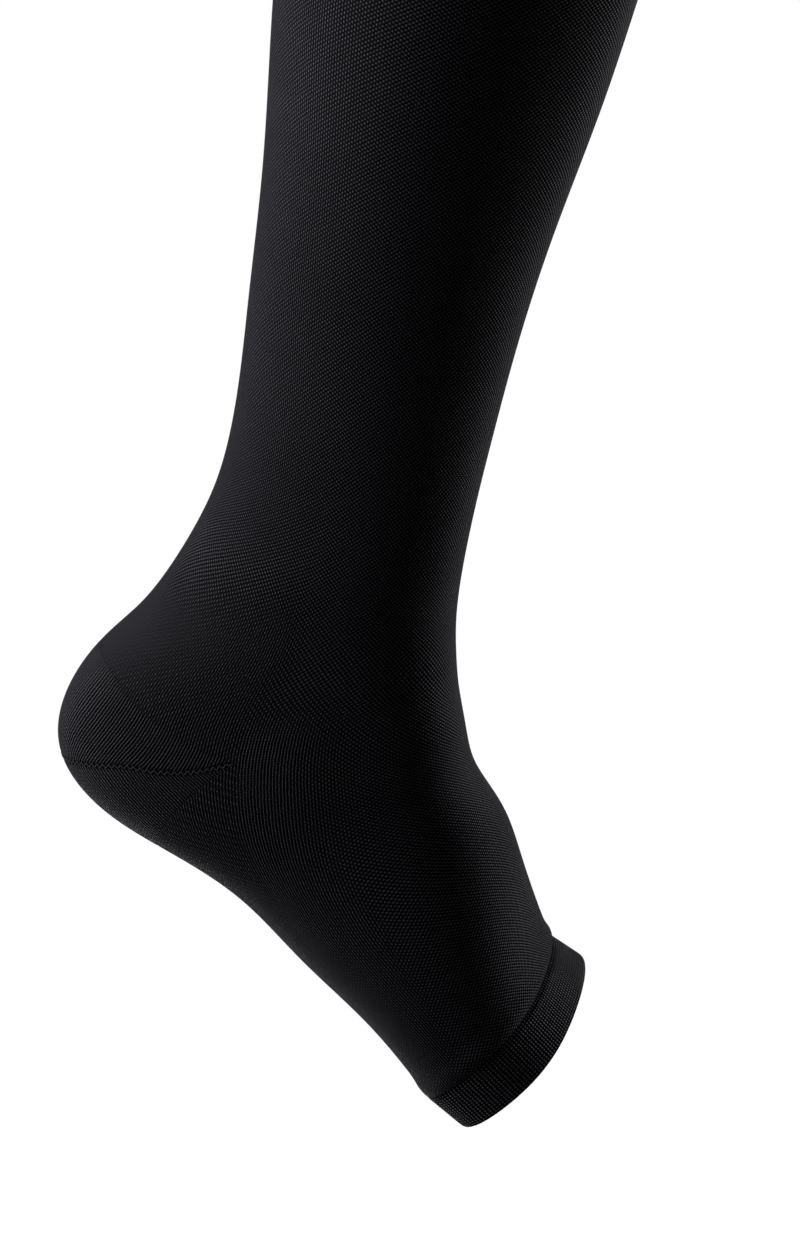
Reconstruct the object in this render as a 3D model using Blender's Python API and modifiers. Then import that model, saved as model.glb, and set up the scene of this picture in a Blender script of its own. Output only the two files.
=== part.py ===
"""Open-toe compression stocking, knee-high, for a right leg, in the form that it has when it is worn.

The stocking is modelled as it is knitted: one tube from the top band to the toe band, with a pouch of short
rows let in for the heel. A table gives the sections of the tube, a smooth surface runs through them, and
each piece is cut from that surface and given the thickness of its cloth. +Z is up along the shank, +X
points forward, +Y is the wearer's left, and the origin is the middle of the top opening.
"""

import math

import bpy
import numpy as np

MM = 0.001

# Cloth
CLOTH_THICKNESS = 1.2 * MM
BAND_THICKNESS = 2.0 * MM
SEAM_GAP = 0.3 * MM
POUCH_GAP = 0.5 * MM  # measured down the cloth, which the pouch's edges cross at a slant
EDGE_RING = 1.0 * MM  # a narrow ring along each edge keeps the wall square to the cloth there

# Widths of the knitted bands, along the tube
TOP_BAND_WIDTH = 40.0 * MM

# Heel pouch, as shares of the way round from the front of the tube, where 0.5 is the middle of the back
POUCH_CORNER = 0.265
POUCH_TIP = 0.279
POUCH_LEVEL = 0.44
POUCH_ROUNDING = 0.25  # share of the slope over which the pouch's edges round into the level part

# Mesh density
FRONT_COLUMNS = 22
BACK_COLUMNS = 18
TOP_BAND_RINGS = 5
LEG_RINGS = 27
HEEL_RINGS = 13
FOOT_RINGS = 15
TOE_BAND_RINGS = 5
OUTLINE_SAMPLES = 91

# Sections of the tube in the order of knitting, in millimetres and degrees.
#   x, y, z  middle of the section
#   tilt     front raised above the back
#   turn     toes turned towards the other leg
#   roll     upper side turned outwards
#   depth    shin to calf, or instep to sole
#   width    side to side
#   square   0 is an ellipse, more is boxier
#   back     how much wider the section is behind its middle
#   lean     how far the front stands towards the other leg
COLUMN_NAMES = (
    "x", "y", "z", "tilt", "turn", "roll", "depth", "width", "square", "back", "lean",
)
TUBE = {
    "below_knee":   (  0.0, 0.0,    0.0,  0.0, 0.0,  0.0, 112.0, 104.0, 0.00,  0.04, 0.00),
    "upper_calf":   ( -3.3, 0.0,  -37.0,  0.0, 0.0,  0.0, 117.5, 111.0, 0.00,  0.08, 0.00),
    "calf":         ( -5.8, 0.0,  -72.0,  0.0, 0.0,  0.0, 117.5, 112.0, 0.00,  0.10, 0.00),
    "lower_calf":   ( -5.2, 0.0, -118.0,  0.0, 0.0,  0.0, 108.7, 102.0, 0.00,  0.10, 0.00),
    "calf_end":     ( -4.3, 0.0, -162.0,  0.0, 0.0,  0.0,  96.2,  88.0, 0.00,  0.06, 0.00),
    "shank":        ( -3.4, 0.0, -204.0,  0.0, 0.0,  0.0,  88.2,  77.0, 0.01,  0.02, 0.00),
    "low_shank":    ( -2.2, 0.0, -232.0,  0.0, 0.0,  0.0,  84.5,  71.0, 0.01,  0.00, 0.00),
    "ankle":        ( -1.8, 0.0, -257.0,  0.0, 0.0,  0.0,  83.5,  67.0, 0.02, -0.02, 0.00),
    "above_heel":   ( -3.2, 0.0, -282.0,  0.0, 0.0,  0.0,  88.5,  67.0, 0.02, -0.04, 0.00),
    "heel_cord":    ( -7.6, 0.0, -305.5,  7.2, 0.0,  0.0, 103.3,  68.0, 0.03, -0.06, 0.00),
    "pouch_top":    (-11.3, 0.0, -320.5,  8.3, 0.0,  1.0, 118.4,  68.0, 0.04, -0.06, 0.00),
    "heel_back":    (-13.5, 0.0, -335.0, 13.3, 0.0,  2.0, 131.2,  67.0, 0.05, -0.04, 0.00),
    "gore":         (-10.4, 0.0, -347.6, 18.0, 0.0,  3.0, 134.2,  67.0, 0.05, -0.02, 0.00),
    "heel_under":   ( -0.6, 0.0, -358.0, 23.3, 0.0,  5.0, 123.5,  67.0, 0.05,  0.00, 0.02),
    "pouch_bottom": ( 13.0, 1.0, -365.6, 27.5, 1.0,  7.0, 106.0,  67.0, 0.05,  0.04, 0.04),
    "instep":       ( 31.5, 3.0, -375.5, 34.0, 2.0,  9.0,  89.0,  70.0, 0.04,  0.08, 0.06),
    "arch":         ( 47.0, 5.0, -387.8, 43.0, 2.0, 11.0,  79.5,  74.0, 0.03,  0.10, 0.08),
    "forefoot":     ( 62.6, 7.5, -401.6, 50.0, 3.0, 12.5,  67.0,  79.0, 0.03,  0.12, 0.08),
    "toe_seam":     ( 84.6, 11.5, -424.8, 54.0, 6.0, 17.0,  50.0,  83.5, 0.04,  0.12, 0.06),
}
TOE_BAND = {
    "toe_seam":     ( 84.6, 11.5, -424.8, 54.0, 6.0, 17.0,  50.0,  83.5, 0.04,  0.12, 0.06),
    "band_middle":  ( 91.4, 13.0, -428.2, 53.5, 7.5, 18.3,  49.0,  84.5, 0.04,  0.12, 0.06),
    "toe_edge":     ( 98.2, 14.5, -431.6, 53.0, 9.0, 19.5,  48.0,  85.5, 0.04,  0.12, 0.06),
}


class SectionSurface:
    """A smooth surface through a table of sections.

    A place on it is (around, along): around is the share of the way round from the front, negative on the
    outer side and positive on the inner side, and along is the distance down the middles of the sections.
    """

    def __init__(self, table):
        self.rows = np.array(list(table.values()))
        middles = self.rows[:, :3] * MM
        steps = np.linalg.norm(np.diff(middles, axis=0), axis=1)
        self.along = np.concatenate([[0.0], np.cumsum(steps)])
        self.at = dict(zip(table, self.along))
        self.curvature = self.natural_spline()

    def natural_spline(self):
        """Second derivatives that make each column of the table a natural cubic spline."""
        count = len(self.along)
        step = np.diff(self.along)
        matrix = np.eye(count)
        right = np.zeros_like(self.rows)
        for i in range(1, count - 1):
            matrix[i, i - 1 : i + 2] = step[i - 1], 2 * (step[i - 1] + step[i]), step[i]
            rise = (self.rows[i + 1] - self.rows[i]) / step[i]
            run = (self.rows[i] - self.rows[i - 1]) / step[i - 1]
            right[i] = 6 * (rise - run)
        return np.linalg.solve(matrix, right)

    def section(self, along):
        """The table's columns at each distance, by name."""
        after = np.clip(np.searchsorted(self.along, along), 1, len(self.along) - 1)
        before = after - 1
        step = self.along[after] - self.along[before]
        b = ((along - self.along[before]) / step)[..., None]
        a = 1 - b
        bend = (a**3 - a) * self.curvature[before] + (b**3 - b) * self.curvature[after]
        values = a * self.rows[before] + b * self.rows[after] + bend * step[..., None] ** 2 / 6
        return dict(zip(COLUMN_NAMES, np.moveaxis(values, -1, 0)))

    def points(self, around, along):
        """World positions of the places (around, along), in metres."""
        around, along = np.broadcast_arrays(around, along)
        part = {name: values[..., None] for name, values in self.section(along).items()}
        angle = np.linspace(0, math.pi, OUTLINE_SAMPLES)
        side = np.where(around < 0, -1.0, 1.0)[..., None]
        square = part["square"]
        front = (np.cos(angle) - square * np.cos(3 * angle)) / (1 - square)
        out = (np.sin(angle) + square * np.sin(3 * angle)) / (1 - square)
        depthways = part["depth"] / 2 * front
        sideways = side * part["width"] / 2 * out * (1 - part["back"] * front) + part["lean"] * depthways
        lengths = np.hypot(np.diff(depthways, axis=-1), np.diff(sideways, axis=-1))
        share = np.cumsum(lengths, axis=-1) / (2 * lengths.sum(axis=-1, keepdims=True))
        share = np.concatenate([np.zeros_like(share[..., :1]), share], axis=-1)
        wanted = np.abs(around)[..., None]
        after = np.clip((share < wanted).sum(axis=-1, keepdims=True), 1, OUTLINE_SAMPLES - 1)
        low = np.take_along_axis(share, after - 1, -1)
        high = np.take_along_axis(share, after, -1)
        blend = (wanted - low) / (high - low)

        def at_share(values):
            start = np.take_along_axis(values, after - 1, -1)
            return start + blend * (np.take_along_axis(values, after, -1) - start)

        return self.placed(part, at_share(depthways), at_share(sideways))

    def placed(self, part, depthways, sideways):
        """Turns distances within a section into world positions."""
        tilt, turn, roll = (np.radians(part[name]) for name in ("tilt", "turn", "roll"))
        nothing = np.zeros_like(tilt)
        front = np.concatenate([np.cos(tilt), nothing, np.sin(tilt)], axis=-1)
        ahead = np.concatenate([np.sin(tilt), nothing, -np.cos(tilt)], axis=-1)
        inner = np.cos(turn) * np.array([0.0, 1.0, 0.0]) - np.sin(turn) * ahead
        rolled_front = np.cos(roll) * front - np.sin(roll) * inner
        rolled_inner = np.cos(roll) * inner + np.sin(roll) * front
        middle = np.concatenate([part["x"], part["y"], part["z"]], axis=-1)
        return (middle + depthways * rolled_front + sideways * rolled_inner) * MM

    def moved(self, around, along, distance):
        """The along that lies the given distance further down the surface."""
        reach = 0.5 * MM
        step = self.points(around, along + reach) - self.points(around, along - reach)
        return along + distance * 2 * reach / np.linalg.norm(step, axis=-1)


def ease(share):
    """0 to 1 with level ends."""
    share = np.clip(share, 0, 1)
    return share * share * (3 - 2 * share)


def round_the_tube():
    """Shares of the way round for a whole ring, which has a column at each corner of the pouch."""
    front = np.linspace(-POUCH_CORNER, POUCH_CORNER, FRONT_COLUMNS + 1)
    inner_back = np.linspace(POUCH_CORNER, 0.5, BACK_COLUMNS // 2 + 1)
    return np.concatenate([-inner_back[::-1], front[1:], inner_back[1:-1]])


def round_the_pouch():
    """Shares of the way round for the pouch, from its inner tip over the heel to its outer tip."""
    inner_back = np.linspace(POUCH_CORNER, 0.5, BACK_COLUMNS // 2 + 1)
    inner_back[0] = POUCH_TIP
    return np.concatenate([inner_back, -inner_back[-2::-1]])


def seam_gap(around):
    """The gap at each column of a ring that runs across the instep and along the pouch."""
    return np.where(np.abs(around) > POUCH_CORNER, POUCH_GAP, SEAM_GAP)


def ring_shares(count, length):
    """How far down a piece of about this length each of its rings lies, as a column."""
    edge = EDGE_RING / length
    return np.concatenate([[0.0], np.linspace(edge, 1 - edge, count - 2), [1.0]])[:, None]


def pouch_edge(surface, around, row):
    """The pouch's edge, which starts at its corners and runs level across the back at the named section."""
    slope = np.clip((np.abs(around) - POUCH_CORNER) / (POUCH_LEVEL - POUCH_CORNER), 0, 1 + POUCH_ROUNDING)
    past = np.clip(slope - 1 + POUCH_ROUNDING, 0, None)
    corner = surface.at["gore"]
    return corner + (surface.at[row] - corner) * (slope - past**2 / (4 * POUCH_ROUNDING))


def make_material(name, colour, roughness):
    material = bpy.data.materials.new(name)
    material.use_nodes = True
    shader = material.node_tree.nodes["Principled BSDF"]
    shader.inputs["Base Color"].default_value = (*colour, 1.0)
    shader.inputs["Roughness"].default_value = roughness
    shader.inputs["Metallic"].default_value = 0.0
    return material


def make_wall(name, grid, closed, thickness, material, collection):
    """A wall of cloth whose outer face is the grid of points."""
    rows, columns = grid.shape[:2]
    across = columns if closed else columns - 1
    faces = []
    for row in range(rows - 1):
        for column in range(across):
            following = (column + 1) % columns
            here = row * columns
            below = here + columns
            faces.append((here + column, below + column, below + following, here + following))
    mesh = bpy.data.meshes.new(name)
    mesh.from_pydata([tuple(point) for point in grid.reshape(-1, 3)], [], faces)
    mesh.materials.append(material)
    mesh.shade_smooth()
    wall = bpy.data.objects.new(name, mesh)
    collection.objects.link(wall)
    solidify = wall.modifiers.new("Cloth", "SOLIDIFY")
    solidify.thickness = thickness
    solidify.offset = -1.0
    return wall


def make_top_band(surface, material, collection):
    around = round_the_tube()
    end = surface.moved(around, TOP_BAND_WIDTH, -SEAM_GAP / 2)
    places = end * ring_shares(TOP_BAND_RINGS, TOP_BAND_WIDTH)
    make_wall("top_band", surface.points(around, places), True, BAND_THICKNESS, material, collection)


def make_leg(surface, material, collection):
    around = round_the_tube()
    corner = surface.at["gore"]
    sag_start = surface.at["low_shank"]
    start = surface.moved(around, TOP_BAND_WIDTH, SEAM_GAP / 2)
    edge = pouch_edge(surface, around, "pouch_top")
    end = surface.moved(around, edge, -seam_gap(around) / 2)
    level = start + (corner - start) * ring_shares(LEG_RINGS, corner)
    places = level - (corner - end) * ease((level - sag_start) / (corner - sag_start))
    make_wall("leg", surface.points(around, places), True, CLOTH_THICKNESS, material, collection)


def make_heel(surface, material, collection):
    around = round_the_pouch()
    upper = surface.moved(around, pouch_edge(surface, around, "pouch_top"), POUCH_GAP / 2)
    lower = surface.moved(around, pouch_edge(surface, around, "pouch_bottom"), -POUCH_GAP / 2)
    length = surface.at["pouch_bottom"] - surface.at["pouch_top"]
    places = upper + (lower - upper) * ring_shares(HEEL_RINGS, length)
    make_wall("heel", surface.points(around, places), False, CLOTH_THICKNESS, material, collection)


def make_foot(surface, material, collection):
    around = round_the_tube()
    corner = surface.at["gore"]
    edge = pouch_edge(surface, around, "pouch_bottom")
    start = surface.moved(around, edge, seam_gap(around) / 2)
    end = surface.moved(around, surface.at["toe_seam"], -SEAM_GAP / 2)
    share = ring_shares(FOOT_RINGS, surface.at["toe_seam"] - corner)
    places = corner + (end - corner) * share + (start - corner) * ease(1 - share)
    make_wall("foot", surface.points(around, places), True, CLOTH_THICKNESS, material, collection)


def make_toe_band(surface, material, collection):
    around = round_the_tube()
    start = surface.moved(around, 0.0, SEAM_GAP / 2)
    width = surface.at["toe_edge"]
    places = start + (width - start) * ring_shares(TOE_BAND_RINGS, width)
    make_wall("toe_band", surface.points(around, places), True, BAND_THICKNESS, material, collection)


def main():
    for old in list(bpy.data.objects):
        bpy.data.objects.remove(old, do_unlink=True)
    collection = bpy.data.collections.new("compression_stocking")
    bpy.context.scene.collection.children.link(collection)
    plain_knit = make_material("plain_knit", (0.010, 0.010, 0.012), 0.85)
    pouch_knit = make_material("pouch_knit", (0.012, 0.012, 0.014), 0.80)
    band_knit = make_material("band_knit", (0.014, 0.014, 0.016), 0.85)
    tube = SectionSurface(TUBE)
    toe = SectionSurface(TOE_BAND)
    make_top_band(tube, band_knit, collection)
    make_leg(tube, plain_knit, collection)
    make_heel(tube, pouch_knit, collection)
    make_foot(tube, plain_knit, collection)
    make_toe_band(toe, band_knit, collection)


main()
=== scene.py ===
import math

import bpy
import numpy as np
from mathutils import Matrix, Vector


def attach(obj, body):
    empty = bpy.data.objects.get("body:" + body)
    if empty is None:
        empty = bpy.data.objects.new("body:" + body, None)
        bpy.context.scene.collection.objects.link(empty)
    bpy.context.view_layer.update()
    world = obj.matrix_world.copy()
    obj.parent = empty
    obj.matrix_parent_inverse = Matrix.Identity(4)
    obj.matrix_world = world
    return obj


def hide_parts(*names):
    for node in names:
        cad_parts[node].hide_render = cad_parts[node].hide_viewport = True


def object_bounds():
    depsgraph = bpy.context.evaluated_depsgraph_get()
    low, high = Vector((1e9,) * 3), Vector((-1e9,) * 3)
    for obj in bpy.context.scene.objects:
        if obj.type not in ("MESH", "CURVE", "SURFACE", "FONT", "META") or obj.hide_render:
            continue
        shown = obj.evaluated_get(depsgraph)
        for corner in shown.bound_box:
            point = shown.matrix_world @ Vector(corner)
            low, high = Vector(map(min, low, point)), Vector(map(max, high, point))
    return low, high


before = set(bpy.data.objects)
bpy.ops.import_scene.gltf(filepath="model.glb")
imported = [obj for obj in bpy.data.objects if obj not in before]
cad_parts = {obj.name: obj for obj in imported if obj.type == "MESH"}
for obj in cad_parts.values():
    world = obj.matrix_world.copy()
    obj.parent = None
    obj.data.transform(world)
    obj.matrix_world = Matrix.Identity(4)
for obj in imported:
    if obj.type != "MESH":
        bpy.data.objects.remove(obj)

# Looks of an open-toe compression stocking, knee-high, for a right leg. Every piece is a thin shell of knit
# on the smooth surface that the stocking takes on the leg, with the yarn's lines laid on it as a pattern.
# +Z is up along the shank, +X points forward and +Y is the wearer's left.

CAD_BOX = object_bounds()
MM = 0.001

# Cloth
CLOTH_THICKNESS = 1.0 * MM
TOP_BAND_THICKNESS = 1.8 * MM
TOE_BAND_THICKNESS = 1.7 * MM
TOP_BAND_WIDTH = 40.0 * MM

# Heel pouch, as shares of the way round from the front of the tube, where 0.5 is the middle of the back
POUCH_CORNER = 0.265
POUCH_TIP = 0.2655
POUCH_LEVEL = 0.44
POUCH_ROUNDING = 0.25
GORE_DIP = 2.2 * MM
GORE_DIP_REACH = 0.45  # share of the way from a corner to the back

# Knit
WALES = 330  # columns of stitches round the tube
POUCH_WALE = 1.0 * MM
POUCH_COURSE = 0.8 * MM
WELT_COURSE = 0.7 * MM
RIB_COURSE = 0.95 * MM

# Height of one row of stitches down the tube
COURSES = {
    "below_knee": 0.70 * MM,
    "above_heel": 0.70 * MM,
    "pouch_top": 0.92 * MM,
    "gore": 0.90 * MM,
    "instep": 0.78 * MM,
    "forefoot": 0.60 * MM,
    "toe_seam": 0.60 * MM,
}

# Sections of the tube in the order of knitting, in millimetres and degrees.
#   x, y, z  middle of the section
#   tilt     front raised above the back
#   turn     toes turned towards the other leg
#   roll     upper side turned outwards
#   depth    shin to calf, or instep to sole
#   width    side to side
#   square   0 is an ellipse, more is boxier
#   back     how much wider the section is behind its middle
#   lean     how far the front stands towards the other leg
COLUMN_NAMES = ("x", "y", "z", "tilt", "turn", "roll", "depth", "width", "square", "back", "lean")
TUBE = {
    "below_knee":   (  0.0, 0.0,    0.0,  0.0, 0.0,  0.0, 112.0, 104.0, 0.00,  0.04, 0.00),
    "upper_calf":   ( -3.3, 0.0,  -37.0,  0.0, 0.0,  0.0, 117.5, 111.0, 0.00,  0.08, 0.00),
    "calf":         ( -5.8, 0.0,  -72.0,  0.0, 0.0,  0.0, 117.5, 112.0, 0.00,  0.10, 0.00),
    "lower_calf":   ( -5.2, 0.0, -118.0,  0.0, 0.0,  0.0, 108.7, 102.0, 0.00,  0.10, 0.00),
    "calf_end":     ( -4.3, 0.0, -162.0,  0.0, 0.0,  0.0,  96.2,  88.0, 0.00,  0.06, 0.00),
    "shank":        ( -3.4, 0.0, -204.0,  0.0, 0.0,  0.0,  88.2,  77.0, 0.01,  0.02, 0.00),
    "low_shank":    ( -2.2, 0.0, -232.0,  0.0, 0.0,  0.0,  84.5,  71.0, 0.01,  0.00, 0.00),
    "ankle":        ( -1.8, 0.0, -257.0,  0.0, 0.0,  0.0,  83.5,  67.0, 0.02, -0.02, 0.00),
    "above_heel":   ( -3.2, 0.0, -282.0,  0.0, 0.0,  0.0,  88.5,  67.0, 0.02, -0.04, 0.00),
    "heel_cord":    ( -7.6, 0.0, -305.5,  7.2, 0.0,  0.0, 103.3,  68.0, 0.03, -0.06, 0.00),
    "pouch_top":    (-11.3, 0.0, -320.5,  8.3, 0.0,  1.0, 118.4,  68.0, 0.04, -0.06, 0.00),
    "heel_back":    (-13.5, 0.0, -335.0, 13.3, 0.0,  2.0, 131.2,  67.0, 0.05, -0.04, 0.00),
    "gore":         (-10.4, 0.0, -347.6, 18.0, 0.0,  3.0, 134.2,  67.0, 0.05, -0.02, 0.00),
    "heel_under":   ( -0.6, 0.0, -358.0, 23.3, 0.0,  5.0, 123.5,  67.0, 0.05,  0.00, 0.02),
    "pouch_bottom": ( 13.0, 1.0, -365.6, 27.5, 1.0,  7.0, 106.0,  67.0, 0.05,  0.04, 0.04),
    "instep":       ( 31.5, 3.0, -375.5, 34.0, 2.0,  9.0,  89.0,  70.0, 0.04,  0.08, 0.06),
    "arch":         ( 47.0, 5.0, -387.8, 43.0, 2.0, 11.0,  79.5,  74.0, 0.03,  0.10, 0.08),
    "forefoot":     ( 62.6, 7.5, -401.6, 50.0, 3.0, 12.5,  67.0,  79.0, 0.03,  0.12, 0.08),
    "toe_seam":     ( 84.6, 11.5, -424.8, 54.0, 6.0, 17.0,  50.0,  83.5, 0.04,  0.12, 0.06),
}
TOE_BAND = {
    "toe_seam":     ( 84.6, 11.5, -424.8, 54.0, 6.0, 17.0,  50.0,  83.5, 0.04,  0.12, 0.06),
    "band_middle":  ( 91.4, 13.0, -428.2, 53.5, 7.5, 18.3,  49.0,  84.5, 0.04,  0.12, 0.06),
    "toe_edge":     ( 98.2, 14.5, -431.6, 53.0, 9.0, 19.5,  48.0,  85.5, 0.04,  0.12, 0.06),
}

# How the columns of stitches wander round the tube, in shares of a turn at each section.
#   twist  all of them together, towards the inner side
#   pull   both sides, towards the back where it is negative, as the pouch takes up the cloth there
DRIFT = {
    "below_knee":   (0.000,  0.000),
    "low_shank":    (0.033,  0.000),
    "heel_cord":    (0.055,  0.000),
    "gore":         (0.057, -0.006),
    "instep":       (0.038, -0.061),
    "arch":         (0.026, -0.057),
    "toe_seam":     (0.056, -0.044),
}
PULL_TO_BACK = 0.4  # how much more of the pull lies behind the sides than before them

# Spans over which the columns of stitches change from staggered to plain lines: (start, length)
LINES_BY_CORNER = (0.0, 0.004)  # shares of a turn in front of the pouch's corner
LINES_FADE = (0.03, 0.11)
LINES_TOP = (-30 * MM, 25 * MM)  # down from the gore
LINES_BOTTOM = (8 * MM, 50 * MM)  # down from the instep
CALF_LINES = 0.55  # how plain they are down the back of the calf
CALF_LINES_SIDE = (0.25, 0.12)
CALF_LINES_END = (260 * MM, 40 * MM)
HEEL_LINES = 0.8  # how plain they are above the pouch
HEEL_LINES_SIDE = (0.22, 0.05)
HEEL_LINES_TOP = (280 * MM, 30 * MM)
POUCH_LINES = 0.9

# Seams. A shade is how much a seam darkens the cloth, and a sink is a share of SEAM_DEPTH
SEAM_WIDTH = 0.7 * MM
SEAM_DEPTH = 0.15 * MM
NO_SEAM = 1.0  # metres to a seam that isn't there
TOP_SEAM_SHADE = 0.6
HEEL_SEAM_SHADE = 0.35
HEEL_SEAM_FADE = (POUCH_CORNER, 0.12)
POUCH_SEAM_SHADE = 0.2
POUCH_SEAM_SINK = 0.5
SOLE_SEAM_SHADE = 0.1
SOLE_SEAM_SINK = 0.4
TOE_SEAM_SHADE = 0.25
TOE_SEAM_SINK = 0.8
GORE_WIDTH = 1.0 * MM
GORE_DEPTH = 0.35 * MM
GORE_STITCHES = 36  # zigzags from each corner to the back
GORE_STITCH_REACH = 0.7 * MM
GORE_STITCH_SINK = 0.12 * MM
GORE_STITCH_TAPER = 0.02  # share of the thread's length at each end
GORE_STITCH_ROUNDING = 0.9
THREAD_RADIUS = 0.22 * MM

# Fan of stitches in the pouch
WEDGE_ABOVE = math.radians(41)
WEDGE_BELOW = math.radians(35)
POUCH_FAN_END = 0.40
POUCH_HALF_WIDTH = 72.0 * MM
GORE_COURSES = 400

# Bands
BAND_RISE = 0.15 * MM
RIBS = 170  # ribs round the toe band
RIB_HEIGHT = 0.08 * MM
BEAD_SHARE = 0.25  # share of a rib's height that comes and goes along it
RIB_START = 1.5 * MM
RIB_END = 1.0 * MM
NOTCH_AT = 1.3 * MM
NOTCH_WIDTH = 0.6 * MM
NOTCH_DEPTH = 0.5 * MM
NOTCH_FADE = (0.2, 0.2)  # span round from the front
NOTCH_LOSS = 0.7
TOE_BULGE = 0.9 * MM  # ridge of cloth just above the toe band
TOE_BULGE_AT = 3.0 * MM
TOE_BULGE_SOLE = 0.4  # share of the ridge that is left at the sole
WELT_RIBS = 165
WELT_RIB_HEIGHT = 0.10 * MM
WELT_START = 2.0 * MM
WELT_END = 1.5 * MM

# Cut of each piece before it is stretched on the leg: (width, length) and area
TOP_BAND_CUT = (0.262, 0.040), None
LEG_CUT = (0.262, 0.300), 0.0620
HEEL_CUT = (0.150, 0.055), 0.0052
FOOT_CUT = (0.215, 0.125), 0.0195
TOE_BAND_CUT = (0.168, 0.0165), None

# Materials
# The knit's colour runs from the gap colour between the stitches to the yarn colour on their tops: painted
# shade in the gaps and painted highlights on the stitches, over the knit's own stitch pattern.
PLAIN_KNIT = {"lit_yarn": (0.0015, 0.0016, 0.0020), "shaded_gap": (0.00003, 0.00003, 0.00004), "relief": 0.20 * MM}
POUCH_KNIT = {"lit_yarn": (0.0017, 0.0018, 0.0022), "shaded_gap": (0.00003, 0.00003, 0.00004), "relief": 0.24 * MM}
# The bands' yarn colour is about three times lighter than the plain knit's: partly painted light, for the
# light that falls on the toe band.
BAND_KNIT = {"lit_yarn": (0.0046, 0.0047, 0.0056), "shaded_gap": (0.00004, 0.00004, 0.00005), "relief": 0.10 * MM}
THREAD = {"lit_yarn": (0.0007, 0.0007, 0.0009), "shaded_gap": (0.0002, 0.0002, 0.0003), "relief": 0.05 * MM}
THREAD_SHINE = 0.4
SPECULAR = 0.008
SHEEN = 0.012
SHEEN_ROUGHNESS = 0.35
SHEEN_TINT = (0.86, 0.88, 1.0, 1.0)
GAP_ROUGHNESS = 0.95
YARN_ROUGHNESS = 0.62
BUMP_STRENGTH = 0.9
STITCH_SHARPNESS = 2.4
SEAM_DARKENING = 0.9
COLUMN_WANDER = 0.5  # stitches
WANDER_NOISE = (0.35, 2.0)  # scale and detail
FLECK_NOISE = (1.1, 1.0)
CLOUD_NOISE = (38.0, 3.0)
GRAIN_NOISE = (3.0, 4.0)
# COLUMN_BREAKS and RIB_BREAKS set how the painted highlight rises and falls along each column and rib.
COLUMN_BREAKS = (0.75, 1.0)  # least and most brightness along a plain column
RIB_BREAKS = (0.35, 1.0)
FLECKS = (0.35, 1.45)
CLOUDS = (0.82, 1.18)
FLOOR_COLOURS = (0.93, 0.93, 0.93), (0.95, 0.95, 0.95)
FLOOR_ROUGHNESS = (0.85, 0.95)
FLOOR_SPECULAR = 0.1

# Stage, lights and camera, in metres, watts and degrees, but the lens and the sensor in millimetres
FLOOR_SIZE = 60.0
FLOOR_DROP = 0.70
WORLD_STRENGTH = 1.07
LIGHTS = {
    "left": {
        "place": (-1.90, -0.22, 0.40),
        "target": (0.0, 0.0, 0.40),
        "size": (1.4, 1.6),
        "power": 760,
        "spread": 65,
        "colour": (1.0, 0.95, 0.94),
    },
    "right": {
        "place": (1.30, 1.00, 0.80),
        "target": (0.0, 0.0, -0.25),
        "size": (1.0, 1.4),
        "power": 270,
        "spread": 90,
        "colour": (1.0, 0.97, 0.98),
    },
}
CAMERA_LIFT = 14.0
CAMERA_LEAN = 13.5
CAMERA_SENSOR = 36.0
CAMERA_LENS = 150.3
CAMERA_REACH = 100.0
CAMERA_DISTANCE = 1.7
CAMERA_TARGET = (0.0247, 0.0, -0.2985)

# Mesh density
OUTLINE_SAMPLES = 181
COURSE_STEPS = 1000
NORMAL_AROUND = 0.002
NORMAL_ALONG = 0.4 * MM
LEG_RING = 1.6 * MM
FOOT_RING = 1.2 * MM
POUCH_RING = 0.026
POUCH_EDGE_RINGS = np.array([0.01, 0.02, 0.035, 0.055])
TOE_BAND_RING = 0.26 * MM
TOP_BAND_RING = 1.3 * MM
COLUMNS_A_RIB = 6
POINTS_A_STITCH = 8
THREAD_SIDES = 6
FRONT_COLUMNS = 168
BACK_COLUMNS = 152
INNER_STEP = 7  # the inner face keeps one outer ring in this many
EDGE_RINGS = np.array([0.25, 0.5, 0.8, 1.2]) * MM
EDGE_TURNS = 5

# Whether a shell's first and last ring are rolled
NO_ROLL = (False, False)
ROLL_START = (True, False)
ROLL_END = (False, True)


class Spline:
    """A natural cubic spline through rows of values."""

    def __init__(self, places, rows):
        self.places = np.array(places)
        self.rows = np.array(rows)
        count = len(self.places)
        step = np.diff(self.places)
        matrix = np.eye(count)
        right = np.zeros_like(self.rows)
        for i in range(1, count - 1):
            matrix[i, i - 1 : i + 2] = step[i - 1], 2 * (step[i - 1] + step[i]), step[i]
            rise = (self.rows[i + 1] - self.rows[i]) / step[i]
            run = (self.rows[i] - self.rows[i - 1]) / step[i - 1]
            right[i] = 6 * (rise - run)
        self.curvature = np.linalg.solve(matrix, right)

    def __call__(self, place):
        after = np.clip(np.searchsorted(self.places, place), 1, len(self.places) - 1)
        before = after - 1
        step = self.places[after] - self.places[before]
        b = ((place - self.places[before]) / step)[..., None]
        a = 1 - b
        bend = (a**3 - a) * self.curvature[before] + (b**3 - b) * self.curvature[after]
        return a * self.rows[before] + b * self.rows[after] + bend * step[..., None] ** 2 / 6


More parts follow.
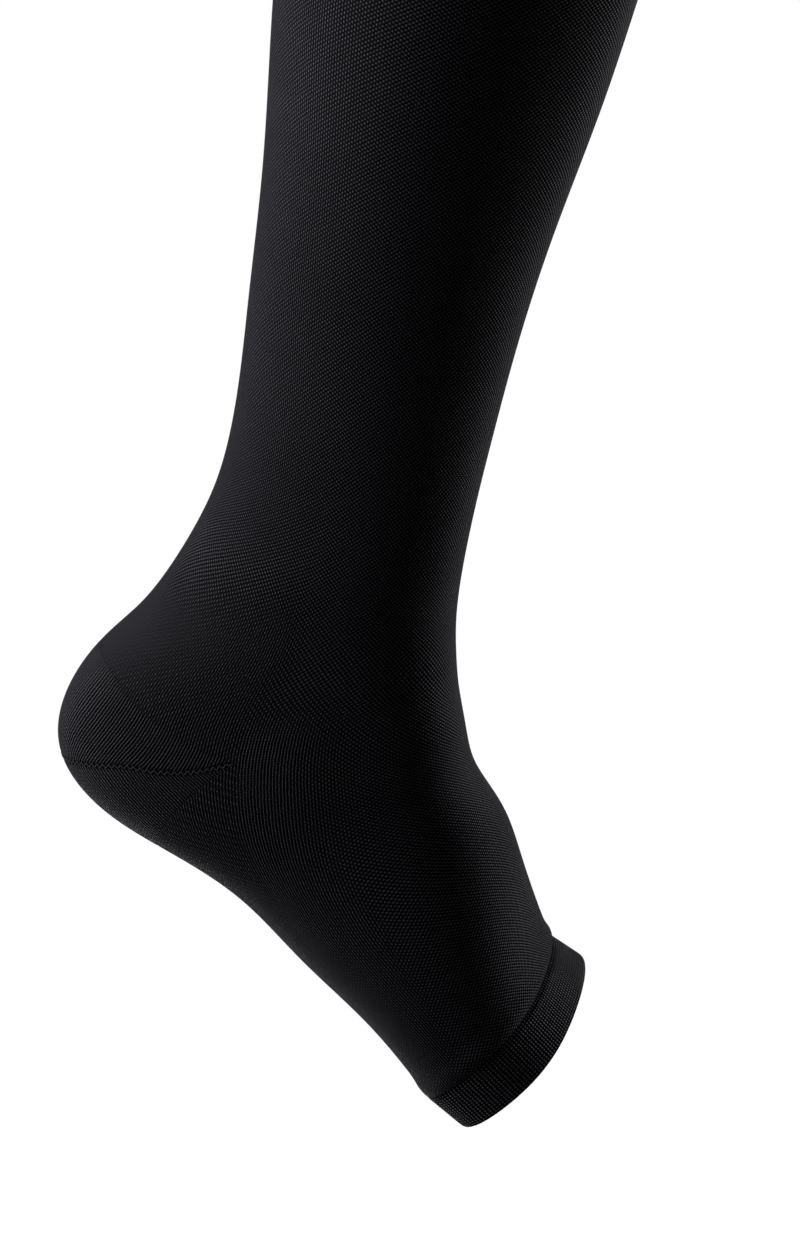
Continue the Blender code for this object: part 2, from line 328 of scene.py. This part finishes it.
class SectionSurface:
    """A smooth surface through a table of sections.

    A place on it is (around, along): around is the share of the way round from the front, negative on the
    outer side and positive on the inner side, and along is the distance down the middles of the sections.
    """

    def __init__(self, table, drift=None):
        rows = np.array(list(table.values()))
        steps = np.linalg.norm(np.diff(rows[:, :3] * MM, axis=0), axis=1)
        places = np.concatenate([[0.0], np.cumsum(steps)])
        self.at = dict(zip(table, places))
        self.end = places[-1]
        self.spline = Spline(places, rows)
        if drift:
            self.drift = Spline([self.at[name] for name in drift], list(drift.values()))

    def section(self, along):
        """The table's columns at each distance, by name."""
        return dict(zip(COLUMN_NAMES, np.moveaxis(self.spline(along), -1, 0)))

    def points(self, around, along):
        """World positions of the places (around, along), in metres."""
        around, along = np.broadcast_arrays(around, along)
        part = {name: values[..., None] for name, values in self.section(along).items()}
        angle = np.linspace(0, math.pi, OUTLINE_SAMPLES)
        side = np.where(around < 0, -1.0, 1.0)[..., None]
        square = part["square"]
        front = (np.cos(angle) - square * np.cos(3 * angle)) / (1 - square)
        out = (np.sin(angle) + square * np.sin(3 * angle)) / (1 - square)
        depthways = part["depth"] / 2 * front
        widening = 1 - part["back"] * front
        sideways = side * part["width"] / 2 * out * widening + part["lean"] * depthways
        lengths = np.hypot(np.diff(depthways, axis=-1), np.diff(sideways, axis=-1))
        share = np.cumsum(lengths, axis=-1) / (2 * lengths.sum(axis=-1, keepdims=True))
        share = np.concatenate([np.zeros_like(share[..., :1]), share], axis=-1)
        wanted = np.abs(around)[..., None]
        after = np.clip((share < wanted).sum(axis=-1, keepdims=True), 1, OUTLINE_SAMPLES - 1)
        low = np.take_along_axis(share, after - 1, -1)
        high = np.take_along_axis(share, after, -1)
        blend = (wanted - low) / (high - low)

        def at_share(values):
            start = np.take_along_axis(values, after - 1, -1)
            return start + blend * (np.take_along_axis(values, after, -1) - start)

        return self.placed(part, at_share(depthways), at_share(sideways))

    def placed(self, part, depthways, sideways):
        """Turns distances within a section into world positions."""
        tilt, turn, roll = (np.radians(part[name]) for name in ("tilt", "turn", "roll"))
        nothing = np.zeros_like(tilt)
        front = np.concatenate([np.cos(tilt), nothing, np.sin(tilt)], axis=-1)
        ahead = np.concatenate([np.sin(tilt), nothing, -np.cos(tilt)], axis=-1)
        inner = np.cos(turn) * np.array([0.0, 1.0, 0.0]) - np.sin(turn) * ahead
        rolled_front = np.cos(roll) * front - np.sin(roll) * inner
        rolled_inner = np.cos(roll) * inner + np.sin(roll) * front
        middle = np.concatenate([part["x"], part["y"], part["z"]], axis=-1)
        return (middle + depthways * rolled_front + sideways * rolled_inner) * MM

    def normals(self, around, along):
        """Unit normals at the places (around, along), pointing out of the tube."""
        around, along = np.broadcast_arrays(around, along)
        one_side = self.points(wrapped(around + NORMAL_AROUND), along)
        other_side = self.points(wrapped(around - NORMAL_AROUND), along)
        down = self.points(around, along + NORMAL_ALONG) - self.points(around, along - NORMAL_ALONG)
        return unit(np.cross(down, one_side - other_side))

    def moved(self, around, along, distance):
        """The along that lies the given distance further down the surface."""
        reach = 0.5 * MM
        step = self.points(around, along + reach) - self.points(around, along - reach)
        return along + distance * 2 * reach / np.linalg.norm(step, axis=-1)


def unit(vectors):
    """Vectors brought to a length of 1."""
    return vectors / np.linalg.norm(vectors, axis=-1, keepdims=True)


def wrapped(around):
    """A share of the way round, brought back to -0.5 to 0.5."""
    return around - np.round(around)


def ease(share):
    """0 to 1 with level ends."""
    share = np.clip(share, 0, 1)
    return share * share * (3 - 2 * share)


def fade(value, span):
    """0 to 1 over a span, which is its start and its length."""
    return ease((value - span[0]) / span[1])


def bump(distance, width):
    """1 at no distance, falling smoothly to 0."""
    return np.exp(-((distance / width) ** 2))


def round_the_tube():
    """Shares of the way round for a whole ring, which has a column at each corner of the pouch."""
    front = np.linspace(-POUCH_CORNER, POUCH_CORNER, FRONT_COLUMNS + 1)
    inner_back = np.linspace(POUCH_CORNER, 0.5, BACK_COLUMNS // 2 + 1)
    return np.concatenate([-inner_back[::-1], front[1:], inner_back[1:-1]])


def round_the_pouch():
    """Shares of the way round for the pouch, from its inner tip over the heel to its outer tip."""
    inner_back = np.linspace(POUCH_CORNER, 0.5, BACK_COLUMNS // 2 + 1)
    inner_back[0] = POUCH_TIP
    return np.concatenate([inner_back, -inner_back[-2::-1]])


def pouch_edge(surface, around, row):
    """The pouch's edge, which starts at its corners and runs level across the back at the named section."""
    slope = (np.abs(around) - POUCH_CORNER) / (POUCH_LEVEL - POUCH_CORNER)
    slope = np.clip(slope, 0, 1 + POUCH_ROUNDING)
    past = np.clip(slope - 1 + POUCH_ROUNDING, 0, None)
    corner = surface.at["gore"]
    return corner + (surface.at[row] - corner) * (slope - past**2 / (4 * POUCH_ROUNDING))


def gore_line(surface, around):
    """Where the two halves of the pouch meet: level round the heel, with a dip before each corner."""
    past = (np.abs(around) - POUCH_CORNER) / (0.5 - POUCH_CORNER)
    return surface.at["gore"] + GORE_DIP * np.sin(math.pi * np.clip(past / GORE_DIP_REACH, 0, 1))


def rings(length, spacing, ends=EDGE_RINGS):
    """Distances down a piece of this length, close together near its ends."""
    count = max(2, round((length - 2 * ends[-1]) / spacing) + 1)
    inside = np.linspace(ends[-1], length - ends[-1], count)
    return np.concatenate([[0.0], ends[:-1], inside, length - ends[-2::-1], [length]])


def wale_count(surface, around, along):
    """Which column of stitches passes a place, counted from the front."""
    twist, pull = np.moveaxis(surface.drift(along), -1, 0)
    swing = np.sin(2 * math.pi * around) - PULL_TO_BACK * np.sin(4 * math.pi * around)
    return WALES * (around - twist + pull * swing)


# ---------------------------------------------------------------- pieces as meshes


def profile_normals(grid, closed):
    """Smooth normals of a grid that closes on itself down its columns."""
    down = np.roll(grid, -1, axis=0) - np.roll(grid, 1, axis=0)
    if closed:
        across = np.roll(grid, -1, axis=1) - np.roll(grid, 1, axis=1)
    else:
        across = np.gradient(grid, axis=1)
    return unit(np.cross(down, across))


def rolled_edge(row, normal, ahead, thickness):
    """Rings that turn an outer row over a round edge of the cloth, short of its inner row."""
    angles = np.linspace(0, math.pi, EDGE_TURNS + 2)[1:-1, None, None]
    middle = row - normal * thickness / 2
    return middle + thickness / 2 * (np.cos(angles) * normal + np.sin(angles) * ahead)


def make_shell(name, outer, normals, thickness, uv, feel, closed, rolled, material):
    """A shell of cloth under a grid of outer points.

    rolled says whether the first and the last ring end in a round edge, or are cut square where another
    piece meets them. uv counts stitches, with one column more than the grid, and feel holds two shares for
    the material: plain lines of stitches, and nearness to a seam.
    """
    rows = len(outer)
    kept = np.unique(np.concatenate([np.arange(rows)[::-INNER_STEP], [0]]))[::-1]
    inner = outer[kept] - normals[kept] * thickness
    parts = [outer]
    indices = [np.arange(rows)]
    if rolled[1]:
        parts.append(rolled_edge(outer[-1], normals[-1], unit(outer[-1] - outer[-2]), thickness))
        indices.append(np.full(EDGE_TURNS, rows - 1))
    parts.append(inner)
    indices.append(kept)
    if rolled[0]:
        parts.append(rolled_edge(outer[0], normals[0], unit(outer[0] - outer[1]), thickness)[::-1])
        indices.append(np.zeros(EDGE_TURNS, int))
    grid = np.concatenate(parts)
    source = np.concatenate(indices)
    shading = profile_normals(grid, closed)
    if not rolled[0]:
        shading[0] = normals[0]
        shading[-1] = -normals[0]
    if not rolled[1]:
        shading[rows - 1] = normals[-1]
        shading[rows] = -normals[-1]
    count, columns = grid.shape[:2]
    ring = np.arange(count)[:, None]
    column = np.arange(columns if closed else columns - 1)[None, :]
    below = (ring + 1) % count
    after = (column + 1) % columns
    here = ring * columns
    next_ring = below * columns
    corners = [here + column, next_ring + column, next_ring + after, here + after]
    faces = np.stack(corners, axis=-1).reshape(-1, 4).tolist()
    places = uv[source]
    corner_places = [
        places[ring, column],
        places[below, column],
        places[below, column + 1],
        places[ring, column + 1],
    ]
    corner_uv = np.stack(corner_places, axis=2).reshape(-1, 2)
    mesh = bpy.data.meshes.new(name)
    if not closed:
        faces.append(list(range(0, count * columns, columns))[::-1])
        faces.append(list(range(columns - 1, count * columns, columns)))
        corner_uv = np.concatenate([corner_uv, places[::-1, 0], places[:, -1]])
    mesh.from_pydata(grid.reshape(-1, 3).tolist(), [], faces)
    mesh.uv_layers.new(name="stitches").data.foreach_set("uv", corner_uv.astype(np.float32).ravel())
    shares = mesh.attributes.new("feel", "FLOAT_COLOR", "POINT")
    unused = np.tile([0.0, 1.0], (count * columns, 1))
    colours = np.concatenate([feel[source].reshape(-1, 2), unused], axis=1)
    shares.data.foreach_set("color", colours.astype(np.float32).ravel())
    mesh.shade_smooth()
    mesh.normals_split_custom_set_from_vertices(shading.reshape(-1, 3).tolist())
    mesh.materials.append(material)
    piece = bpy.data.objects.new(name, mesh)
    bpy.context.scene.collection.objects.link(piece)
    return piece


def stitch_uv(surface, around, along, courses):
    """Stitch counts (columns, rows) over a grid of places on the tube."""
    return np.stack(np.broadcast_arrays(wale_count(surface, around, along), courses), axis=-1)


def course_count(surface, level):
    """Which row of stitches passes a level, counted from the top."""
    steps = np.linspace(0, surface.end, COURSE_STEPS)
    height = np.interp(steps, [surface.at[name] for name in COURSES], list(COURSES.values()))
    counts = np.concatenate([[0.0], np.cumsum(np.diff(steps) / height[1:])])
    return np.interp(level, steps, counts)


def closed_round(around):
    """The same ring with its first column again at the end, a turn further on."""
    return np.append(around, around[0] + 1)


def plain_share(surface, around, along):
    """How plainly the columns of stitches show as lines: most in front of the pouch's corners."""
    count = wale_count(surface, around, along)
    gore = np.full(around.shape, surface.at["gore"])
    corner = wale_count(surface, np.sign(around) * POUCH_CORNER, gore)
    forward = (np.abs(corner) - np.abs(count)) / WALES
    beside = fade(forward, LINES_BY_CORNER) * (1 - fade(forward, LINES_FADE))
    above = fade(along - surface.at["gore"], LINES_TOP)
    below = 1 - fade(along - surface.at["instep"], LINES_BOTTOM)
    calf = CALF_LINES * fade(np.abs(around), CALF_LINES_SIDE) * (1 - fade(along, CALF_LINES_END))
    heel = HEEL_LINES * fade(along, HEEL_LINES_TOP) * fade(np.abs(around), HEEL_LINES_SIDE)
    return np.maximum(beside * above * below, np.maximum(calf, heel))


def make_leg(tube, material):
    """The tube from the top band to the pouch and across the instep."""
    around = round_the_tube()
    corner = tube.at["gore"]
    sag_start = tube.at["low_shank"]

    def places(around, level):
        sag = ease((level - sag_start) / (corner - sag_start))
        return level - (corner - pouch_edge(tube, around, "pouch_top")) * sag

    level = (TOP_BAND_WIDTH + rings(corner - TOP_BAND_WIDTH, LEG_RING))[:, None]
    along = places(around, level)
    to_pouch = np.where(np.abs(around) > POUCH_CORNER, places(around, corner) - along, NO_SEAM)
    to_band = along - TOP_BAND_WIDTH
    heel_seam = HEEL_SEAM_SHADE * fade(np.abs(around), HEEL_SEAM_FADE) * bump(to_pouch, SEAM_WIDTH)
    seam = np.maximum(heel_seam, TOP_SEAM_SHADE * bump(to_band, SEAM_WIDTH))
    normals = tube.normals(around, along)
    outer = tube.points(around, along) - normals * (seam * SEAM_DEPTH)[..., None]
    turned = closed_round(around)
    uv = stitch_uv(tube, turned, places(turned, level), course_count(tube, level))
    feel = np.stack([plain_share(tube, around, along), seam], axis=-1)
    return make_shell("leg_knit", outer, normals, CLOTH_THICKNESS, uv, feel, True, NO_ROLL, material)


def make_foot(tube, material):
    """The tube from the pouch and the instep to the toe band."""
    around = round_the_tube()
    corner = tube.at["gore"]
    end = tube.at["toe_seam"]

    def places(around, level):
        lag = pouch_edge(tube, around, "pouch_bottom") - corner
        return level + lag * ease(1 - (level - corner) / (end - corner))

    level = (corner + rings(end - corner, FOOT_RING))[:, None]
    along = places(around, level)
    to_pouch = np.where(np.abs(around) > POUCH_CORNER, along - places(around, corner), NO_SEAM)
    to_band = end - along
    pouch_seam = bump(to_pouch, SEAM_WIDTH)
    band_seam = bump(to_band, SEAM_WIDTH)
    seam = np.maximum(SOLE_SEAM_SHADE * pouch_seam, TOE_SEAM_SHADE * band_seam)
    drop = SEAM_DEPTH * np.maximum(SOLE_SEAM_SINK * pouch_seam, TOE_SEAM_SINK * band_seam)
    normals = tube.normals(around, along)
    upper_side = (np.cos(2 * math.pi * around) + 1) / 2
    bulge = TOE_BULGE * bump(to_band - TOE_BULGE_AT, TOE_BULGE_AT)
    bulge = bulge * (TOE_BULGE_SOLE + (1 - TOE_BULGE_SOLE) * upper_side)
    outer = tube.points(around, along) + normals * (bulge - drop)[..., None]
    turned = closed_round(around)
    uv = stitch_uv(tube, turned, places(turned, level), course_count(tube, level))
    feel = np.stack([plain_share(tube, around, along), seam], axis=-1)
    return make_shell("foot_knit", outer, normals, CLOTH_THICKNESS, uv, feel, True, NO_ROLL, material)


def pouch_stitches(around, flat, middle):
    """Stitch counts (columns, rows) over the pouch: a fan from each tip, straight over the heel's middle.

    flat holds the pouch's points, and middle is its ring at the gore. Also gives the distances from each
    point to the pouch's edge and to the gore.
    """
    across = np.linalg.norm(np.diff(flat, axis=1), axis=-1)
    reach = np.concatenate([np.zeros((len(flat), 1)), np.cumsum(across, axis=1)], axis=1)
    half = len(around) // 2
    from_tip = np.minimum(reach, reach[:, -1:] - reach)
    from_middle = np.abs(reach - reach[:, half : half + 1])
    down = np.linalg.norm(np.diff(flat, axis=0), axis=-1)
    depth = np.concatenate([np.zeros((1, len(around))), np.cumsum(down, axis=0)])
    is_above = np.arange(len(flat))[:, None] <= middle
    to_edge = np.where(is_above, depth, depth[-1] - depth)
    height = np.where(is_above, depth[middle], depth[-1] - depth[middle])
    share = to_edge / np.maximum(height, 1e-6)
    wedge = np.where(is_above, WEDGE_ABOVE, WEDGE_BELOW)
    centre = ease((np.abs(around) - POUCH_FAN_END) / (0.5 - POUCH_FAN_END))
    fan_wales = from_tip * np.cos(wedge * share)
    fan_courses = from_tip * np.sin(wedge * share)
    straight = POUCH_HALF_WIDTH - from_middle
    wales = (fan_wales + centre * (straight - fan_wales)) / POUCH_WALE
    wales = np.where(np.arange(len(around)) <= half, wales, 2 * POUCH_HALF_WIDTH / POUCH_WALE - wales)
    courses = (fan_courses + centre * (to_edge - fan_courses)) / POUCH_COURSE
    courses = np.where(is_above, courses, GORE_COURSES - courses)
    return np.stack([wales, courses], axis=-1), to_edge, np.abs(depth - depth[middle])


def make_heel(tube, material):
    """The pouch of short rows, whose halves meet at the gore."""
    around = round_the_pouch()
    upper = pouch_edge(tube, around, "pouch_top")
    lower = pouch_edge(tube, around, "pouch_bottom")
    gore = gore_line(tube, around)
    share = rings(1.0, POUCH_RING, POUCH_EDGE_RINGS)[:, None]
    along = np.concatenate([upper + (gore - upper) * share, gore + (lower - gore) * share[1:]])
    flat = tube.points(around, along)
    uv, to_edge, to_gore = pouch_stitches(around, flat, len(share) - 1)
    edge_seam = bump(to_edge, SEAM_WIDTH)
    gore_seam = bump(to_gore, GORE_WIDTH)
    seam = np.maximum(POUCH_SEAM_SHADE * edge_seam, gore_seam)
    drop = np.maximum(POUCH_SEAM_SINK * SEAM_DEPTH * edge_seam, GORE_DEPTH * gore_seam)
    normals = tube.normals(around, along)
    outer = flat - normals * drop[..., None]
    uv = np.concatenate([uv, uv[:, -1:]], axis=1)
    feel = np.stack([np.full(seam.shape, POUCH_LINES), seam], axis=-1)
    return make_shell("heel_knit", outer, normals, CLOTH_THICKNESS, uv, feel, False, NO_ROLL, material)


def make_toe_band(toe, material):
    """The ribbed band round the open toe, with a notch between ribs along its upper edge."""
    columns = RIBS * COLUMNS_A_RIB
    around = -0.5 + np.arange(columns) / columns
    thickness = TOE_BAND_THICKNESS
    length = toe.end - thickness / 2
    along = np.linspace(0, length, round(length / TOE_BAND_RING) + 1)[:, None]
    start = ease(along / RIB_START)
    finish = ease((length - along) / RIB_END)
    rib = np.cos(2 * math.pi * RIBS * around)
    bead = np.cos(2 * math.pi * along / RIB_COURSE + math.pi * (np.round(RIBS * around) % 2))
    relief = RIB_HEIGHT * rib * (1 - BEAD_SHARE + BEAD_SHARE * bead) * start * finish
    between_ribs = np.sqrt((1 - rib) / 2) * (1 - NOTCH_LOSS * fade(np.abs(around), NOTCH_FADE))
    notches = bump(along - NOTCH_AT, NOTCH_WIDTH) * between_ribs
    edge = bump(along, SEAM_WIDTH)
    lift = relief + BAND_RISE * start - NOTCH_DEPTH * notches - TOE_SEAM_SINK * SEAM_DEPTH * edge
    normals = toe.normals(around, along)
    outer = toe.points(around, along) + normals * lift[..., None]
    turned = closed_round(around)
    uv = np.stack(np.broadcast_arrays(RIBS * turned, along / RIB_COURSE), axis=-1)
    # The notches darken the colour almost to black: painted shade in their recesses.
    seam = np.maximum(TOE_SEAM_SHADE * edge, notches)
    feel = np.stack(np.broadcast_arrays(1.0, seam), axis=-1)
    return make_shell("toe_band_knit", outer, normals, thickness, uv, feel, True, ROLL_END, material)


def make_top_band(tube, material):
    """The ribbed band below the knee."""
    columns = WELT_RIBS * COLUMNS_A_RIB
    around = -0.5 + np.arange(columns) / columns
    thickness = TOP_BAND_THICKNESS
    roll = thickness / 2
    along = (roll + rings(TOP_BAND_WIDTH - roll, TOP_BAND_RING))[:, None]
    inside = ease((along - roll) / WELT_START) * ease((TOP_BAND_WIDTH - along) / WELT_END)
    rib = np.cos(2 * math.pi * WELT_RIBS * around)
    seam = TOP_SEAM_SHADE * bump(TOP_BAND_WIDTH - along, SEAM_WIDTH)
    lift = WELT_RIB_HEIGHT * rib * inside + BAND_RISE * inside - seam * SEAM_DEPTH
    normals = tube.normals(around, along)
    outer = tube.points(around, along) + normals * lift[..., None]
    turned = closed_round(around)
    uv = np.stack(np.broadcast_arrays(WELT_RIBS * turned, along / WELT_COURSE), axis=-1)
    feel = np.ones((len(along), columns, 2))
    feel[..., 1] = seam
    return make_shell("top_band_knit", outer, normals, thickness, uv, feel, True, ROLL_START, material)


def make_gore_stitches(tube, material):
    """The zigzag of yarn that shows where the two halves of the pouch meet."""
    steps = 2 * GORE_STITCHES * POINTS_A_STITCH
    share = np.linspace(0, 1, steps + 1)[1:-1]
    around = wrapped(POUCH_TIP + (1 - 2 * POUCH_TIP) * share)
    wave = np.sin(2 * math.pi * GORE_STITCHES * 2 * share)
    swing = np.arcsin(wave * GORE_STITCH_ROUNDING) / (math.pi / 2)
    taper = ease(np.minimum(share, 1 - share) / GORE_STITCH_TAPER)
    along = tube.moved(around, gore_line(tube, around), GORE_STITCH_REACH * swing * taper)
    normals = tube.normals(around, along)
    path = tube.points(around, along) - normals * GORE_STITCH_SINK
    ahead = unit(np.gradient(path, axis=0))
    aside = unit(np.cross(normals, ahead))
    turn = np.linspace(0, 2 * math.pi, THREAD_SIDES, endpoint=False)[:, None, None]
    ring = path + THREAD_RADIUS * (np.cos(turn) * normals + np.sin(turn) * aside)
    grid = np.moveaxis(ring, 0, 1)
    count = len(path)
    here = np.arange(count - 1)[:, None] * THREAD_SIDES
    side = np.arange(THREAD_SIDES)[None, :]
    after = (side + 1) % THREAD_SIDES
    later = here + THREAD_SIDES
    faces = np.stack([here + side, here + after, later + after, later + side], axis=-1)
    faces = faces.reshape(-1, 4).tolist()
    faces.append(list(range(THREAD_SIDES))[::-1])
    faces.append(list(range((count - 1) * THREAD_SIDES, count * THREAD_SIDES)))
    mesh = bpy.data.meshes.new("gore_stitches")
    mesh.from_pydata(grid.reshape(-1, 3).tolist(), [], faces)
    mesh.shade_smooth()
    mesh.materials.append(material)
    piece = bpy.data.objects.new("gore_stitches", mesh)
    bpy.context.scene.collection.objects.link(piece)
    return piece


# ---------------------------------------------------------------- materials


class NodeGraph:
    """A material's nodes, with short calls for the ones that a knit needs."""

    def __init__(self, name):
        self.material = bpy.data.materials.new(name)
        self.material.use_nodes = True
        self.tree = self.material.node_tree
        self.shader = self.tree.nodes["Principled BSDF"]

    def node(self, kind, **settings):
        """A new node with these settings."""
        made = self.tree.nodes.new(kind)
        for key, value in settings.items():
            setattr(made, key, value)
        return made

    def plug(self, socket, value):
        """Links a socket to another, or sets it."""
        if isinstance(value, bpy.types.NodeSocket):
            self.tree.links.new(value, socket)
        else:
            socket.default_value = value

    def math(self, operation, *values):
        """The outcome of a sum on numbers or sockets."""
        made = self.node("ShaderNodeMath", operation=operation)
        for socket, value in zip(made.inputs, values):
            self.plug(socket, value)
        return made.outputs[0]

    def wave(self, turns):
        """A cosine of a number of turns, from 0 to 1."""
        cosine = self.math("COSINE", self.math("MULTIPLY", turns, 2 * math.pi))
        return self.math("MULTIPLY_ADD", cosine, 0.5, 0.5)

    def noise(self, scale, detail, coordinates):
        """Cloudy noise from 0 to 1."""
        made = self.node("ShaderNodeTexNoise")
        made.inputs["Scale"].default_value = scale
        made.inputs["Detail"].default_value = detail
        self.plug(made.inputs["Vector"], coordinates)
        return made.outputs["Fac"]

    def between(self, share, low, high):
        """A share from 0 to 1 stretched to run from low to high."""
        made = self.node("ShaderNodeMapRange")
        self.plug(made.inputs["Value"], share)
        self.plug(made.inputs["To Min"], low)
        self.plug(made.inputs["To Max"], high)
        return made.outputs["Result"]

    def blend(self, share, first, second):
        """A mix of two colours."""
        made = self.node("ShaderNodeMix", data_type="RGBA")
        self.plug(made.inputs["Factor"], share)
        sockets = [socket for socket in made.inputs if socket.type == "RGBA"]
        for socket, colour in zip(sockets, (first, second)):
            socket.default_value = (*colour, 1.0)
        return next(socket for socket in made.outputs if socket.type == "RGBA")


def knit_material(name, lit_yarn, shaded_gap, relief, ribbed=False, shine_share=1.0):
    """Fine knit, its columns of stitches set half a step on from their neighbours except where plain. Its
    colour holds a painted highlight on each stitch and painted shade in the gaps between stitches.
    """
    graph = NodeGraph(name)
    place = graph.node("ShaderNodeUVMap", uv_map="stitches").outputs["UV"]
    solid = graph.node("ShaderNodeTexCoord").outputs["Object"]
    feel = graph.node("ShaderNodeAttribute", attribute_name="feel").outputs["Color"]
    split = graph.node("ShaderNodeSeparateXYZ")
    graph.plug(split.inputs[0], place)
    shares = graph.node("ShaderNodeSeparateColor")
    graph.plug(shares.inputs[0], feel)
    plain = shares.outputs[0]
    seam = shares.outputs[1]
    uneven = graph.math("SUBTRACT", graph.noise(*WANDER_NOISE, place), 0.5)
    wales = graph.math("ADD", split.outputs[0], graph.math("MULTIPLY", uneven, COLUMN_WANDER))
    courses = split.outputs[1]
    column = graph.wave(wales)
    if ribbed:
        stitch = graph.math("MULTIPLY", column, graph.between(graph.wave(courses), *RIB_BREAKS))
    else:
        across = graph.math("COSINE", graph.math("MULTIPLY", wales, math.pi))
        down = graph.math("COSINE", graph.math("MULTIPLY", courses, math.pi))
        staggered = graph.math("MULTIPLY_ADD", graph.math("MULTIPLY", across, down), 0.5, 0.5)
        in_line = graph.math("MULTIPLY", column, graph.between(graph.wave(courses), *COLUMN_BREAKS))
        in_line = graph.math("MULTIPLY", in_line, plain)
        staggered = graph.math("MULTIPLY", staggered, graph.math("SUBTRACT", 1.0, plain))
        stitch = graph.math("ADD", in_line, staggered)
    # Sharpened into small bright dots: painted highlights on the tops of the stitches.
    stitch = graph.math("POWER", stitch, STITCH_SHARPNESS)
    flecked = graph.math("MULTIPLY", stitch, graph.between(graph.noise(*FLECK_NOISE, place), *FLECKS))
    darkening = graph.math("SUBTRACT", 1.0, graph.math("MULTIPLY", seam, SEAM_DARKENING))
    shine = graph.math("MULTIPLY", flecked, darkening)
    shade = graph.math("MULTIPLY", shine, graph.between(graph.noise(*CLOUD_NOISE, solid), *CLOUDS))
    raised = graph.node("ShaderNodeBump")
    raised.inputs["Strength"].default_value = BUMP_STRENGTH
    raised.inputs["Distance"].default_value = relief
    graph.plug(raised.inputs["Height"], shine)
    surface = graph.shader.inputs
    # Base colour from the gap colour to the yarn colour: painted shade between the stitches and painted
    # highlights on them.
    graph.plug(surface["Base Color"], graph.blend(shade, shaded_gap, lit_yarn))
    graph.plug(surface["Roughness"], graph.between(shade, GAP_ROUGHNESS, YARN_ROUGHNESS))
    graph.plug(surface["Normal"], raised.outputs["Normal"])
    graph.plug(surface["Specular IOR Level"], graph.math("MULTIPLY", shade, SPECULAR * shine_share))
    graph.plug(surface["Sheen Weight"], graph.math("MULTIPLY", shade, SHEEN * shine_share))
    surface["Sheen Roughness"].default_value = SHEEN_ROUGHNESS
    surface["Sheen Tint"].default_value = SHEEN_TINT
    surface["Metallic"].default_value = 0.0
    return graph.material


def floor_material():
    """Matt, pale and faintly grained."""
    graph = NodeGraph("pale_floor")
    solid = graph.node("ShaderNodeTexCoord").outputs["Object"]
    grain = graph.noise(*GRAIN_NOISE, solid)
    graph.plug(graph.shader.inputs["Base Color"], graph.blend(grain, *FLOOR_COLOURS))
    graph.plug(graph.shader.inputs["Roughness"], graph.between(grain, *FLOOR_ROUGHNESS))
    graph.shader.inputs["Specular IOR Level"].default_value = FLOOR_SPECULAR
    return graph.material


# ---------------------------------------------------------------- stage, light and camera


def make_floor(low):
    """A wide floor below the stocking's lowest point."""
    bpy.ops.mesh.primitive_plane_add(size=FLOOR_SIZE, location=(0.0, 0.0, low - FLOOR_DROP))
    floor = bpy.context.object
    floor.name = "floor"
    floor.data.materials.append(floor_material())


def make_light(name, place, target, size, power, spread, colour):
    """A soft light, aimed at a target."""
    light = bpy.data.lights.new(name, "AREA")
    light.shape = "RECTANGLE"
    light.size, light.size_y = size
    light.energy = power
    light.spread = math.radians(spread)
    light.color = colour
    lamp = bpy.data.objects.new(name, light)
    lamp.location = place
    lamp.visible_camera = False
    lamp.rotation_euler = (Vector(target) - Vector(place)).to_track_quat("-Z", "Y").to_euler()
    bpy.context.scene.collection.objects.link(lamp)


def make_world():
    """Even white light all round."""
    world = bpy.data.worlds.new("studio")
    bpy.context.scene.world = world
    world.use_nodes = True
    sky = world.node_tree.nodes["Background"]
    sky.inputs["Color"].default_value = (1.0, 1.0, 1.0, 1.0)
    sky.inputs["Strength"].default_value = WORLD_STRENGTH


def make_camera():
    """A long lens on the outer side, lifted and leant so that the shank stands off the upright."""
    lift = math.radians(CAMERA_LIFT)
    lean = math.radians(CAMERA_LEAN)
    back = Vector((0.0, -math.cos(lift), math.sin(lift)))
    right = Vector((1.0, 0.0, 0.0))
    up = back.cross(right)
    leaning_right = math.cos(lean) * right + math.sin(lean) * up
    leaning_up = math.cos(lean) * up - math.sin(lean) * right
    camera = bpy.data.cameras.new("camera")
    camera.sensor_width = CAMERA_SENSOR
    camera.lens = CAMERA_LENS
    camera.clip_end = CAMERA_REACH
    holder = bpy.data.objects.new("camera", camera)
    turn = Matrix((leaning_right, leaning_up, back)).transposed().to_4x4()
    holder.matrix_world = Matrix.Translation(Vector(CAMERA_TARGET) + back * CAMERA_DISTANCE) @ turn
    bpy.context.scene.collection.objects.link(holder)
    bpy.context.scene.camera = holder


def settle(piece, node, slot, flat, area):
    """Ties a piece of cloth to the body and hides its CAD node. Its slot, flat cut and area are not used.
    """
    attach(piece, "root")
    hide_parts(node)


def main():
    tube = SectionSurface(TUBE, DRIFT)
    toe = SectionSurface(TOE_BAND)
    plain = knit_material("plain_knit_cloth", **PLAIN_KNIT)
    pouch = knit_material("pouch_knit_cloth", **POUCH_KNIT)
    band = knit_material("band_knit_cloth", **BAND_KNIT, ribbed=True)
    thread = knit_material("stitch_thread", **THREAD, shine_share=THREAD_SHINE)
    make_camera()
    settle(make_top_band(tube, band), "top_band", "band_knit", *TOP_BAND_CUT)
    settle(make_leg(tube, plain), "leg", "plain_knit", *LEG_CUT)
    settle(make_heel(tube, pouch), "heel", "pouch_knit", *HEEL_CUT)
    settle(make_foot(tube, plain), "foot", "plain_knit", *FOOT_CUT)
    settle(make_toe_band(toe, band), "toe_band", "band_knit", *TOE_BAND_CUT)
    stitches = make_gore_stitches(tube, thread)
    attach(stitches, "root")
    make_world()
    make_floor(CAD_BOX[0].z)
    for name, settings in LIGHTS.items():
        make_light(name, **settings)
    bpy.context.scene.view_settings.view_transform = "Standard"


main()
